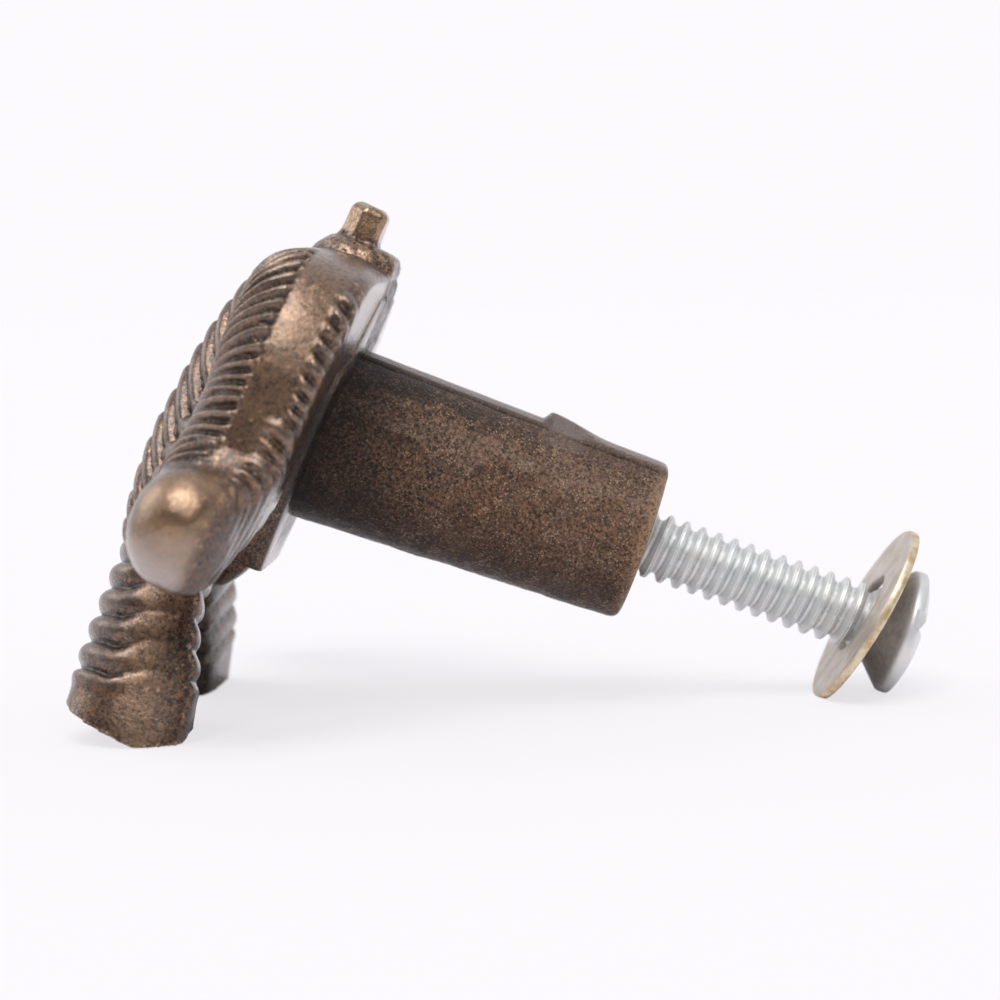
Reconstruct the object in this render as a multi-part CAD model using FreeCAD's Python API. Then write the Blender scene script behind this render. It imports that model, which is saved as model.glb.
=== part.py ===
"""Cast cabinet knob with its fixing screw and loose washer.

Frame: the origin is the centre of the shank's end face, which is the face that sits on the
drawer front.  +Y runs along the screw, away from the knob.  The head's figure faces -Y,
+Z points to the top of the figure, and X is the width of the figure.  Millimetres.
"""
import FreeCAD, Part
import math
import os

V = FreeCAD.Vector

# ---------------------------------------------------------------- driving dimensions
# shank
SHANK_LENGTH = 20.7
SHANK_ROOT_D = 11.4
SHANK_END_D = 10.2
SHANK_EDGE_ROUND = 0.5
PARTING_FLAT_WIDTH = 3.0
GATE_SCAR_FROM_HEAD = 13.7
GATE_SCAR_LENGTH = 3.4
GATE_SCAR_WIDTH = 2.6
GATE_SCAR_HEIGHT = 0.38
GATE_SCAR_ROOT = 0.45

# screw, 3/16 in x 24 threads per inch, 1 in long
THREAD_PITCH = 25.4 / 24
THREAD_MAJOR_D = 4.26
THREAD_CORE_D = 3.41
THREAD_CREST_WIDTH = 0.34
THREAD_ROOT_WIDTH = 0.86
THREAD_ROOT_SINK = 0.12
THREAD_RUNOUT = 0.7
THREAD_CREST_AT = 1.2
SCREW_LENGTH = 25.4
SCREW_RIM_AT = 17.45
SCREW_HEAD_D = 7.9
SCREW_RIM_HEIGHT = 0.65
SCREW_DOME_HEIGHT = 0.78
SCREW_SLOT_WIDTH = 1.2
SCREW_SLOT_DEPTH = 1.15
SCREW_SLOT_TURN = 21.0
SCREW_POINT_CHAMFER = 0.5

# tapped hole in the shank, drawn at the thread's major diameter with running clearance
BORE_CLEARANCE = 0.06
BORE_DEPTH = 15.2
BORE_MOUTH_CHAMFER = 0.35
DRILL_POINT_ANGLE = 118.0

# washer, loose on the screw and leaning on its head
WASHER_D = 12.0
WASHER_HOLE_D = 5.3
WASHER_THICKNESS = 0.6
WASHER_EDGE_ROUND = 0.2
WASHER_AT = 14.6
WASHER_LIFT = 0.3
WASHER_LEAN = 10.7

# head: its flat back leans on the shank, top backwards, and its limbs are given by centre
# lines in the plane of the figure
HEAD_LEAN = 5.5
HUB_D = 14.5
HUB_THICKNESS = 5.0
RIB_PITCH_BODY = 1.5
RIB_PITCH_LIMB = 1.45
RIB_PITCH_LEG = 1.65
RIB_DEPTH = 0.35
STUB_WIDTH = 2.8
STUB_TOP_Z = 13.9
STUB_FOOT_Z = 10.5
STUB_BACK_N = 2.1
STUB_FRONT_N = 4.6
STUB_BEVEL = 0.45
# the feet end at FOOT_END_Z, and their soles are flat where the knob rests when it lies down
FOOT_END_Z = -20.3
SOLE_TILT = 21.0
SOLE_LEVEL = -9.87

# each row: (x, z) of the centre line, half-width, and the back's and the front's distance
# in front of the casting's flat back
SIDE_LIMB = [
    ((0.0, 7.3), 3.8, 0.0, 7.2),
    ((5.0, 7.5), 3.5, 0.2, 7.4),
    ((9.2, 6.4), 3.5, 0.3, 7.3),
    ((11.4, 3.6), 3.6, 0.3, 7.1),
    ((12.2, 0.2), 3.5, 0.3, 6.7),
    ((13.0, -3.3), 3.4, 0.4, 6.8),
    ((15.6, -6.3), 3.6, 1.2, 7.1),
    ((20.0, -7.3), 3.9, 1.8, 7.5),
]
SIDE_LIMB_TIP = 3.9
LEG = [
    ((1.8, -2.0), 3.6, 3.0, 8.6),
    ((3.2, -7.0), 3.6, 3.0, 8.6),
    ((5.8, -12.5), 3.5, 2.3, 8.1),
    ((7.7, -17.2), 3.6, 0.2, 7.5),
    ((8.8, -20.3), 3.8, -0.6, 7.1),
    ((9.4, -22.0), 3.8, -1.0, 6.9),
]
# the leg on the -X side is cast a little further forward
FORWARD_LEG = [
    ((1.8, -2.0), 3.6, 3.0, 8.6),
    ((3.2, -7.0), 3.6, 3.0, 8.6),
    ((5.8, -12.5), 3.5, 2.6, 8.3),
    ((7.7, -17.2), 3.6, 1.0, 8.0),
    ((8.8, -20.3), 3.8, 0.2, 7.8),
    ((9.4, -22.0), 3.8, -0.2, 7.6),
]
BODY = [
    ((0.0, 11.9), 2.7, 0.2, 5.5),
    ((0.0, 7.2), 4.3, 0.2, 8.7),
    ((0.0, 2.0), 4.7, 0.0, 9.7),
    ((0.0, -4.6), 4.7, 0.0, 10.2),
    ((0.0, -9.3), 4.2, 0.0, 9.8),
]
BELLY = [
    ((0.0, -7.5), 4.2, 3.0, 10.0),
    ((0.0, -10.5), 3.4, 3.0, 9.5),
    ((0.0, -13.2), 2.2, 3.4, 8.6),
]


def at(x, z, n):
    """A point of the head: x and z in the figure's plane, n in front of the flat back."""
    lean = math.radians(HEAD_LEAN)
    return V(x, -SHANK_LENGTH - n * math.cos(lean) + z * math.sin(lean),
             z * math.cos(lean) + n * math.sin(lean))


def section(centre, across, half_width, back, front):
    """A D-shaped section: flat on the back, a full round over the front."""
    power = 0.8
    steps = 8
    points = []
    for i in range(steps + 1):
        angle = math.pi * i / steps
        u = -math.copysign(abs(math.cos(angle)) ** power, math.cos(angle)) * half_width
        n = back + math.sin(angle) ** power * (front - back)
        points.append(at(centre[0] + across[0] * u, centre[1] + across[1] * u, n))
    over = Part.BSplineCurve()
    over.interpolate(points)
    under = Part.LineSegment(points[-1], points[0])
    return Part.Wire([over.toShape(), under.toShape()])


def ribbed_limb(rows, pitch, tip=0.0, mirror=1.0):
    """A ribbed limb along the centre line of rows; tip is the length of a rounded end."""
    spine = Part.BSplineCurve()
    spine.interpolate([V(mirror * x, 0, z) for (x, z), *_ in rows])
    length = spine.length()
    stations = 2 * int(round(length / pitch))
    first, last = spine.FirstParameter, spine.LastParameter
    knots = [spine.parameter(V(mirror * x, 0, z)) for (x, z), *_ in rows]
    wires = []
    for i in range(stations + 1):
        s = length * i / stations
        u = min(max(spine.parameterAtDistance(s, first), first), last)
        point = spine.value(u)
        heading = spine.tangent(u)[0]
        across = (heading.z, -heading.x)
        low = max(k for k in range(len(knots) - 1) if knots[k] <= u + 1e-9)
        part = (u - knots[low]) / (knots[low + 1] - knots[low])
        half, back, front = (rows[low][c] * (1 - part) + rows[low + 1][c] * part
                             for c in (1, 2, 3))
        groove = RIB_DEPTH if i % 2 else 0.0
        if tip and s > length - tip:
            reach = (s - (length - tip)) / tip
            shrink = max(math.sqrt(max(1 - reach * reach, 0.0)), 0.2)
            middle = (back + front) / 2
            half, groove = half * shrink, 0.0
            back = middle + (back - middle) * shrink
            front = middle + (front - middle) * shrink
        wires.append(section((point.x, point.z), across, half - groove, back, front - groove))
    return Part.makeLoft(wires, True, True)


def make_stub():
    """The small blunt block on top of the figure, bevelled on its top edges."""
    half = STUB_WIDTH / 2
    rings = []
    for z, inset in ((STUB_FOOT_Z, 0.0), (STUB_TOP_Z - STUB_BEVEL, 0.0), (STUB_TOP_Z, STUB_BEVEL)):
        back, front = STUB_BACK_N + inset, STUB_FRONT_N - inset
        corners = [at(-half + inset, z, back), at(half - inset, z, back),
                   at(half - inset, z, front), at(-half + inset, z, front)]
        rings.append(Part.makePolygon(corners + corners[:1]))
    return Part.makeLoft(rings, True, True)


def make_head():
    """The head casting: hub, ribbed body and belly, two side limbs, two legs and the stub."""
    forward = at(0, 0, 1) - at(0, 0, 0)
    head = Part.makeCylinder(HUB_D / 2, HUB_THICKNESS, at(0, 0, 0), forward)
    pieces = [ribbed_limb(BODY, RIB_PITCH_BODY), ribbed_limb(BELLY, RIB_PITCH_BODY), make_stub()]
    for mirror, leg in ((1.0, LEG), (-1.0, FORWARD_LEG)):
        pieces.append(ribbed_limb(SIDE_LIMB, RIB_PITCH_LIMB, SIDE_LIMB_TIP, mirror))
        pieces.append(ribbed_limb(leg, RIB_PITCH_LEG, 0.0, mirror))
    for piece in pieces:
        head = head.fuse(piece)
    size = 60
    ends = Part.makeBox(size, 2 * size, size, V(-size / 2, -size, -size))
    ends.rotate(V(0, 0, 0), V(1, 0, 0), -HEAD_LEAN)
    ends.translate(at(0, FOOT_END_Z, 0))
    soles = Part.makeBox(size, 2 * size, size, V(-size / 2, -size, -size + SOLE_LEVEL))
    soles.rotate(V(0, 0, 0), V(1, 0, 0), SOLE_TILT)
    return head.removeSplitter().cut(ends).cut(soles)


def shank_radius(y):
    """Radius of the tapered shank at y, from the end face (0) to the head (-SHANK_LENGTH)."""
    return (SHANK_END_D + (SHANK_ROOT_D - SHANK_END_D) * -y / SHANK_LENGTH) / 2


def make_bore():
    """The blind tapped hole: mouth chamfer, parallel bore and drill point."""
    radius = THREAD_MAJOR_D / 2 + BORE_CLEARANCE
    point = radius / math.tan(math.radians(DRILL_POINT_ANGLE / 2))
    bore = Part.makeCylinder(radius, BORE_DEPTH, V(0, 0, 0), V(0, -1, 0))
    drill = Part.makeCone(radius, 0, point, V(0, -BORE_DEPTH, 0), V(0, -1, 0))
    mouth = Part.makeCone(radius + BORE_MOUTH_CHAMFER, radius, BORE_MOUTH_CHAMFER,
                          V(0, 0, 0), V(0, -1, 0))
    return bore.fuse(drill).fuse(mouth)


def make_shank():
    """The tapered shank, with its filed parting flat, ground-off gate and tapped hole."""
    spare = 2.0
    cone = Part.makeCone(SHANK_END_D / 2, shank_radius(-SHANK_LENGTH - spare),
                         SHANK_LENGTH + spare, V(0, 0, 0), V(0, -1, 0))
    rim = [e for e in cone.Edges if e.Closed and abs(e.BoundBox.YMin) < 1e-4]
    body = cone.makeFillet(SHANK_EDGE_ROUND, rim)
    forward = at(0, 0, 1) - at(0, 0, 0)
    body = body.cut(Part.makeCylinder(SHANK_ROOT_D, 2 * spare, at(0, 0, 0), forward))

    def flat_height(y):
        return math.sqrt(shank_radius(y) ** 2 - (PARTING_FLAT_WIDTH / 2) ** 2)

    over = 2.0
    far = -SHANK_LENGTH - spare
    profile = [V(-over, 1, flat_height(0)), V(-over, far, flat_height(far)),
               V(-over, far, SHANK_ROOT_D), V(-over, 1, SHANK_ROOT_D)]
    wedge = Part.Face(Part.makePolygon(profile + profile[:1])).extrude(V(2 * over, 0, 0))
    body = body.cut(wedge)

    scar_y = GATE_SCAR_FROM_HEAD - SHANK_LENGTH
    ball = Part.makeSphere(1.0)
    stretch = FreeCAD.Matrix()
    stretch.scale(GATE_SCAR_WIDTH / 2, GATE_SCAR_LENGTH / 2, GATE_SCAR_HEIGHT + GATE_SCAR_ROOT)
    scar = ball.transformGeometry(stretch)
    scar.translate(V(0, scar_y, flat_height(scar_y) - GATE_SCAR_ROOT))
    grind = Part.makeBox(4, 6, 2, V(-2, scar_y - 3, flat_height(scar_y) + GATE_SCAR_HEIGHT * 0.8))
    body = body.fuse(scar.cut(grind))
    return body.cut(make_bore())


def make_thread(start, length):
    """One helical ridge of rounded-trapezium section, sunk a little into the core."""
    core = THREAD_CORE_D / 2
    helix = Part.makeHelix(THREAD_PITCH, length, core)
    half_root = THREAD_ROOT_WIDTH / 2
    half_crest = THREAD_CREST_WIDTH / 2
    inner = core - THREAD_ROOT_SINK
    outer = THREAD_MAJOR_D / 2
    slope = (half_root - half_crest) / (outer - core)
    half_sunk = min(half_root + slope * THREAD_ROOT_SINK, THREAD_PITCH * 0.48)
    a, b = V(inner, 0, -half_sunk), V(outer - 0.06, 0, -half_crest)
    c, d = V(outer - 0.06, 0, half_crest), V(inner, 0, half_sunk)
    crest = Part.Arc(b, V(outer, 0, 0), c).toShape()
    profile = Part.Wire([Part.makeLine(a, b), crest, Part.makeLine(c, d), Part.makeLine(d, a)])
    ridge = Part.Wire(helix.Edges).makePipeShell([profile], True, True)
    ridge = Part.Solid(ridge) if ridge.ShapeType != "Solid" else ridge
    ridge.rotate(V(0, 0, 0), V(1, 0, 0), -90)
    crest_over_axis = start + 0.75 * THREAD_PITCH
    ridge.rotate(V(0, 0, 0), V(0, 1, 0), 360 * (crest_over_axis - THREAD_CREST_AT) / THREAD_PITCH)
    ridge.translate(V(0, start, 0))
    return ridge


def make_screw():
    """The slotted raised-countersunk screw with its rolled thread."""
    rim = SCREW_HEAD_D / 2
    core = THREAD_CORE_D / 2
    tip = SCREW_RIM_AT - SCREW_LENGTH
    cone_at = SCREW_RIM_AT - SCREW_RIM_HEIGHT - (rim - core)
    shape = [V(0, tip, 0), V(core - SCREW_POINT_CHAMFER, tip, 0),
             V(core, tip + SCREW_POINT_CHAMFER, 0), V(core, cone_at, 0),
             V(rim, SCREW_RIM_AT - SCREW_RIM_HEIGHT, 0), V(rim, SCREW_RIM_AT, 0)]
    top = V(0, SCREW_RIM_AT + SCREW_DOME_HEIGHT, 0)
    half_angle = 2 * math.atan(SCREW_DOME_HEIGHT / rim)
    dome_radius = rim / math.sin(half_angle)
    middle = V(dome_radius * math.sin(half_angle / 2),
               top.y - dome_radius * (1 - math.cos(half_angle / 2)), 0)
    edges = [Part.makeLine(p, q) for p, q in zip(shape, shape[1:])]
    edges.append(Part.Arc(shape[-1], middle, top).toShape())
    edges.append(Part.makeLine(top, shape[0]))
    blank = Part.Face(Part.Wire(edges)).revolve(V(0, 0, 0), V(0, 1, 0), 360)

    start = tip + THREAD_RUNOUT
    ridge = make_thread(start, cone_at - THREAD_RUNOUT / 2 - start)
    screw = blank.fuse(ridge)

    slot = Part.makeBox(2 * SCREW_HEAD_D, SCREW_SLOT_DEPTH + 1, SCREW_SLOT_WIDTH,
                        V(-SCREW_HEAD_D, top.y - SCREW_SLOT_DEPTH, -SCREW_SLOT_WIDTH / 2))
    slot.rotate(V(0, 0, 0), V(0, 1, 0), -SCREW_SLOT_TURN)
    return screw.cut(slot)


def make_washer():
    """The flat washer, rounded on its outer edges, leaning on the screw."""
    disc = Part.makeCylinder(WASHER_D / 2, WASHER_THICKNESS,
                             V(0, -WASHER_THICKNESS / 2, 0), V(0, 1, 0))
    disc = disc.makeFillet(WASHER_EDGE_ROUND, [e for e in disc.Edges if e.Closed])
    hole = Part.makeCylinder(WASHER_HOLE_D / 2, 2 * WASHER_THICKNESS,
                             V(0, -WASHER_THICKNESS, 0), V(0, 1, 0))
    washer = disc.cut(hole)
    washer.rotate(V(0, 0, 0), V(1, 0, 0), -WASHER_LEAN)
    washer.translate(V(0, WASHER_AT, WASHER_LIFT))
    return washer


def main():
    os.makedirs("parts", exist_ok=True)
    makers = {
        "head_casting": make_head,
        "shank": make_shank,
        "fixing_screw": make_screw,
        "washer": make_washer,
    }
    for name, make in makers.items():
        shape = make()
        solid = shape.Solids[0] if len(shape.Solids) == 1 else shape
        solid.exportStep("parts/%s.step" % name)
        box = solid.BoundBox
        print("%-14s valid=%s solids=%d volume=%.1f  x %.2f..%.2f  y %.2f..%.2f  z %.2f..%.2f" % (
            name, solid.isValid(), len(shape.Solids), solid.Volume,
            box.XMin, box.XMax, box.YMin, box.YMax, box.ZMin, box.ZMax))


main()
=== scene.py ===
"""The looks of the cast cabinet knob: weathered antique-brass casting, zinc screw and washer.

Shapes are worked out in millimetres in the knob's own frame, and a finished mesh is in
metres.  The origin is the centre of the shank's end face, +Y runs along the screw, and +Z
points to the top of the figure.
"""
import math

import bmesh
import bpy
import numpy as np
from mathutils import Matrix, Vector
from mathutils.kdtree import KDTree


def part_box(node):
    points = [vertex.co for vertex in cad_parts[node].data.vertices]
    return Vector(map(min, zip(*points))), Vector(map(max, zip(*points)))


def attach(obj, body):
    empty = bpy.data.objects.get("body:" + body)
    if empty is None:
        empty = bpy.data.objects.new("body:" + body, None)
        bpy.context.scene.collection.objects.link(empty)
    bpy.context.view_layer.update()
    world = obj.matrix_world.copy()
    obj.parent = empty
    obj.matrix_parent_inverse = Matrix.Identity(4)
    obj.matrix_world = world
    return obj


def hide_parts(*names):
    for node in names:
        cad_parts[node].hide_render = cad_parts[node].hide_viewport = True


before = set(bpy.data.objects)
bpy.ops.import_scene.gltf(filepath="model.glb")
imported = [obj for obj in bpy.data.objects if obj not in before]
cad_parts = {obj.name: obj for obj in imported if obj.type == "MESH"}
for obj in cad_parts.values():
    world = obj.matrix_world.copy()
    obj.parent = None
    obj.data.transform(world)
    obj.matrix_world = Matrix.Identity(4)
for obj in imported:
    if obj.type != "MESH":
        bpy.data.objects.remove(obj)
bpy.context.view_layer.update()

MM = 0.001
TAU = 2 * math.pi

# ---------------------------------------------------------------- sizes: the CAD's, then ours
HEAD_LOW, HEAD_HIGH = (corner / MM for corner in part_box("head_casting"))
SHANK_TOP_Z = float(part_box("shank")[1][2]) / MM
SCREW_LOW, SCREW_HIGH = (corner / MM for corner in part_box("fixing_screw"))
WASHER_LOW, WASHER_HIGH = (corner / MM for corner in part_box("washer"))

HEAD_LEAN = math.radians(5.5)
SHANK_LENGTH = 20.7
SHANK_ROOT_R = 5.7
SHANK_END_R = 5.1
SHANK_EDGE_ROUND = 0.5
BORE_R = 2.19
BORE_DEPTH = 15.2
BORE_POINT = 1.25
BORE_CHAMFER = 0.35
PARTING_HALF_WIDTH = 2.0
PARTING_HEIGHT = 0.07
PARTING_STEP = 0.10
CAST_LUMPS = 0.06
CAST_GRAIN = 0.05
LIP_DEPTH = 0.22
# the gate that was ground off the shank's parting strip, and the facet ground beside it
GATE_START = -8.5
GATE_LENGTH = 4.4
GATE_HALF_WIDTH = 1.7
GATE_HEIGHT = 0.45
GRIND_TURN = math.radians(27)
GRIND_R = 5.13
# the feet end at FOOT_END_Z, and their soles are flat where the knob rests lying down
FOOT_END_Z = -20.3
SOLE_TILT = math.radians(21.0)
SOLE_LEVEL = -9.87
STUB_HALF_WIDTH = 1.4
STUB_FOOT_Z = 10.4
STUB_TOP_Z = 13.9
STUB_BACK = 2.1
STUB_FRONT = 4.6

THREAD_PITCH = 25.4 / 24
THREAD_CREST_R = 2.13
THREAD_CORE_R = 1.65
THREAD_CREST_AT = 1.2
POINT_CHAMFER = 0.5
SCREW_RIM_R = 3.95
SCREW_RIM_AT = 17.45
SCREW_RIM_HEIGHT = 0.65
SLOT_WIDTH = 1.2
SLOT_DEPTH = 1.15
SLOT_TURN = math.radians(21)
EDGE_EASE = 0.11
DOME_POWER = 2.2

WASHER_R = 6.0
WASHER_HOLE_R = 2.65
WASHER_THICKNESS = 0.58
WASHER_ROLL = 0.22
WASHER_LEAN = math.radians(10.7)
WASHER_CENTRE = (np.array(WASHER_LOW) + np.array(WASHER_HIGH)) / 2


# ---------------------------------------------------------------- seeded noise and meshes
LATTICE_SIZE = 48
LATTICE = np.random.default_rng(7).random((LATTICE_SIZE,) * 3)
OCTAVE_SHIFT = 13.7


def noise(points, size, octaves=3, shift=0.0):
    """Smooth value noise, -1 to 1, with features of the given size, at an array of points."""
    total = np.zeros(len(points))
    weight = 1.0
    reach = 0.0
    for octave in range(octaves):
        q = points / size * 2 ** octave + shift + OCTAVE_SHIFT * octave
        cell = np.floor(q).astype(int)
        part = q - cell
        part = part * part * (3 - 2 * part)
        value = np.zeros(len(points))
        for dx in (0, 1):
            for dy in (0, 1):
                for dz in (0, 1):
                    index = (cell + (dx, dy, dz)) % LATTICE_SIZE
                    corner = LATTICE[index[:, 0], index[:, 1], index[:, 2]]
                    blend = (np.where(dx, part[:, 0], 1 - part[:, 0])
                             * np.where(dy, part[:, 1], 1 - part[:, 1])
                             * np.where(dz, part[:, 2], 1 - part[:, 2]))
                    value += corner * blend
        total += weight * (2 * value - 1)
        reach += weight
        weight *= 0.5
    return total / reach


def smoothstep(value):
    """Rises smoothly from 0 to 1 as value goes from 0 to 1."""
    value = np.clip(value, 0.0, 1.0)
    return value * value * (3 - 2 * value)


def grid_mesh(rings, poles=True):
    """Points and faces of a closed skin over rings of points, closed by a pole at each end."""
    count, around = len(rings), len(rings[0])
    points = np.concatenate(rings)
    faces = []
    for i in range(count - 1):
        for j in range(around):
            k = (j + 1) % around
            faces.append((i * around + j, i * around + k, (i + 1) * around + k,
                          (i + 1) * around + j))
    if poles:
        first, last = len(points), len(points) + 1
        points = np.vstack([points, rings[0].mean(0), rings[-1].mean(0)])
        for j in range(around):
            k = (j + 1) % around
            faces.append((first, k, j))
            faces.append((last, (count - 1) * around + j, (count - 1) * around + k))
    else:
        for j in range(around):
            k = (j + 1) % around
            faces.append(((count - 1) * around + j, (count - 1) * around + k, k, j))
    return points, faces


def make_object(name, points, faces, scale=MM):
    """A mesh object with smooth faces that all point outwards."""
    mesh = bpy.data.meshes.new(name)
    mesh.from_pydata((np.asarray(points) * scale).tolist(), [], [list(f) for f in faces])
    mesh.validate()
    obj = bpy.data.objects.new(name, mesh)
    bpy.context.scene.collection.objects.link(obj)
    work = bmesh.new()
    work.from_mesh(mesh)
    bmesh.ops.recalc_face_normals(work, faces=work.faces)
    work.to_mesh(mesh)
    work.free()
    mesh.polygons.foreach_set("use_smooth", [True] * len(mesh.polygons))
    return obj


def apply_modifiers(obj):
    """Bakes the object's modifiers into its mesh."""
    graph = bpy.context.evaluated_depsgraph_get()
    baked = bpy.data.meshes.new_from_object(obj.evaluated_get(graph))
    old = obj.data
    obj.modifiers.clear()
    obj.data = baked
    bpy.data.meshes.remove(old)


def read_points(mesh):
    """The mesh's points as an array with a row for each."""
    co = np.zeros(len(mesh.vertices) * 3)
    mesh.vertices.foreach_get("co", co)
    return co.reshape(-1, 3)


def read_normals(mesh):
    """The mesh's point normals as an array with a row for each."""
    normals = np.zeros(len(mesh.vertices) * 3)
    mesh.vertices.foreach_get("normal", normals)
    return normals.reshape(-1, 3)


def add_attribute(obj, name, values):
    """Stores a number at each point of the mesh, for the material to read."""
    attribute = obj.data.attributes.new(name, "FLOAT", "POINT")
    attribute.data.foreach_set("value", values)


# ---------------------------------------------------------------- the head casting
# Each row: (x, z) of a limb's centre line in the figure's plane, its half-width, and how far
# its back and its front stand in front of the flat back.
SIDE_LIMB = [
    (0.0, 7.1, 3.5, 0.0, 7.2),
    (5.0, 7.3, 3.2, 0.3, 7.4),
    (9.2, 6.4, 3.5, 0.5, 7.2),
    (11.4, 3.6, 3.6, 0.5, 6.9),
    (12.2, 0.2, 3.5, 0.4, 6.5),
    (13.0, -3.3, 3.4, 0.4, 6.6),
    (15.6, -6.3, 3.6, 1.2, 7.0),
    (20.0, -7.3, 4.1, 1.8, 7.5),
]
LEG = [
    (1.8, -2.0, 3.4, 3.0, 8.4),
    (3.2, -7.0, 3.5, 3.0, 8.4),
    (5.8, -12.5, 3.5, 2.3, 8.0),
    (7.7, -17.2, 3.6, 0.2, 7.5),
    (8.8, -20.3, 3.8, -0.6, 7.1),
    (9.4, -22.0, 3.8, -1.0, 6.9),
]
FORWARD_LEG = [
    (1.8, -2.0, 3.4, 3.0, 8.4),
    (3.2, -7.0, 3.5, 3.0, 8.4),
    (5.8, -12.5, 3.5, 2.6, 8.2),
    (7.7, -17.2, 3.6, 1.0, 8.0),
    (8.8, -20.3, 3.8, 0.2, 7.8),
    (9.4, -22.0, 3.8, -0.2, 7.6),
]
BODY = [
    (0.0, 11.6, 2.5, 0.35, 5.0),
    (0.0, 9.2, 3.4, 0.3, 6.3),
    (0.0, 7.0, 4.1, 0.3, 8.3),
    (0.0, 2.0, 4.5, 0.0, 9.5),
    (0.0, -4.6, 4.5, 0.0, 10.0),
    (0.0, -9.3, 4.0, 0.8, 9.6),
    (0.0, -13.0, 2.3, 3.2, 8.6),
]
BACK_PLATE = [
    (0.0, 9.0, 5.0, 0.0, 4.6),
    (0.0, 4.0, 6.8, 0.0, 5.0),
    (0.0, -3.0, 6.9, 0.0, 5.0),
    (0.0, -9.2, 4.8, 0.0, 4.6),
]
LIMB_TIP = 3.9
BODY_TIP, BODY_START = 1.6, 0.9
STATION_STEP = 0.11
AROUND = 208
VOXEL = 0.11
CURVE_STEPS = 60
# the section of a limb: where it is widest, and how full its front and its back are
WIDEST = 0.36
FRONT_FULLNESS = 0.92
BACK_FULLNESS = 0.28
TIP_ROUNDER = 0.42

# ribs: their spacing along each kind of limb, their height, and the plain end of a foot
BARB_PITCH = 0.69
SCALLOP_PITCH = 0.82
LEG_PITCH = 1.7
BODY_PITCH = 1.5
BARB_HEIGHT = 0.85
LEG_RIB_HEIGHT = 0.75
BODY_RIB_HEIGHT = 0.66
FOOT_LENGTH = 4.6


def at(x, z, n):
    """Points of the head: x and z in the figure's plane, n in front of the flat back."""
    return np.stack([x, -SHANK_LENGTH - n * math.cos(HEAD_LEAN) + z * math.sin(HEAD_LEAN),
                     z * math.cos(HEAD_LEAN) + n * math.sin(HEAD_LEAN)], axis=-1)


def smooth_rows(rows, step):
    """The rows of a limb resampled on a smooth curve at an even step along its centre line."""
    rows = np.array(rows, float)
    padded = np.vstack([2 * rows[0] - rows[1], rows, 2 * rows[-1] - rows[-2]])
    fine = []
    for i in range(1, len(padded) - 2):
        a, b, c, d = padded[i - 1:i + 3]
        t = np.linspace(0, 1, CURVE_STEPS, endpoint=False)[:, None]
        fine.append(0.5 * (2 * b + (c - a) * t + (2 * a - 5 * b + 4 * c - d) * t ** 2
                           + (3 * b - a - 3 * c + d) * t ** 3))
    fine = np.vstack(fine + [rows[-1:]])
    along = np.concatenate([[0], np.cumsum(np.hypot(*np.diff(fine[:, :2], axis=0).T))])
    want = np.linspace(0, along[-1], int(along[-1] / step) + 1)
    return want, np.stack([np.interp(want, along, column) for column in fine.T], axis=1)


def power(value, exponent):
    """The value's size raised to the exponent, with the value's own sign."""
    return np.sign(value) * np.abs(value) ** exponent


def limb(rows, relief=None, tip=0.0, start=0.0, mirror=1.0):
    """A closed limb of D-shaped section, flat behind and round in front.

    relief(s, length, front, back, depth) gives the height of the surface pattern and where
    the limb is rubbed smooth: s is the place along the limb, front and back are distances
    round the section from its outer edge, and depth is the distance in front of its back.
    """
    along, table = smooth_rows(rows, STATION_STEP)
    length = along[-1]
    heading = np.gradient(table[:, :2], axis=0)
    heading /= np.linalg.norm(heading, axis=1)[:, None]
    angle = np.linspace(0, TAU, AROUND, endpoint=False)
    rings, marks = [], []
    for s, (cx, cz, half, back, front), (hx, hz) in zip(along, table, heading):
        middle = back + WIDEST * (front - back)
        shrink = 1.0
        for size, gap in ((tip, length - s), (start, s)):
            if size and gap < size:
                inset = size * (1 - math.sqrt(1 - (1 - gap / size) ** 2))
                shrink = max(1 - inset / half, 0.04)
        ahead = np.sin(angle) >= 0
        rear = BACK_FULLNESS
        if tip > half / 2:
            rear = rear + TIP_ROUNDER * smoothstep((s - length + 9.0) / 5.0)
        fullness = np.where(ahead, FRONT_FULLNESS, rear)
        u = half * power(np.cos(angle), fullness)
        n = np.where(ahead, front - middle, middle - back) * power(np.sin(angle), fullness)
        loop = np.stack([u, n], axis=1)
        edge = np.roll(loop, -1, axis=0) - np.roll(loop, 1, axis=0)
        normal = np.stack([edge[:, 1], -edge[:, 0]], axis=1)
        normal /= np.linalg.norm(normal, axis=1)[:, None] + 1e-9
        walked = np.concatenate([[0], np.cumsum(np.linalg.norm(np.diff(loop, axis=0), axis=1))])
        whole = walked[-1] + np.linalg.norm(loop[0] - loop[-1])
        loop = loop * shrink
        high = rubbed = np.zeros(AROUND)
        if relief is not None:
            high, rubbed = relief(s, length, walked, whole - walked, n - (back - middle))
            loop = loop + normal * high[:, None] * shrink
        marks.append(np.stack([high, rubbed], axis=1))
        x = mirror * (cx - hz * loop[:, 0])
        z = cz + hx * loop[:, 0]
        rings.append(at(x, z, middle + loop[:, 1]))
    points, faces = grid_mesh(rings)
    return points, faces, np.vstack(marks + [np.zeros((2, 2))])


def ridge(phase, sharp=0.62):
    """Rounded ridges with narrow grooves, about -0.66 in a groove and 0.34 on a ridge."""
    return np.abs(np.sin(math.pi * phase)) ** sharp - 0.66


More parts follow.
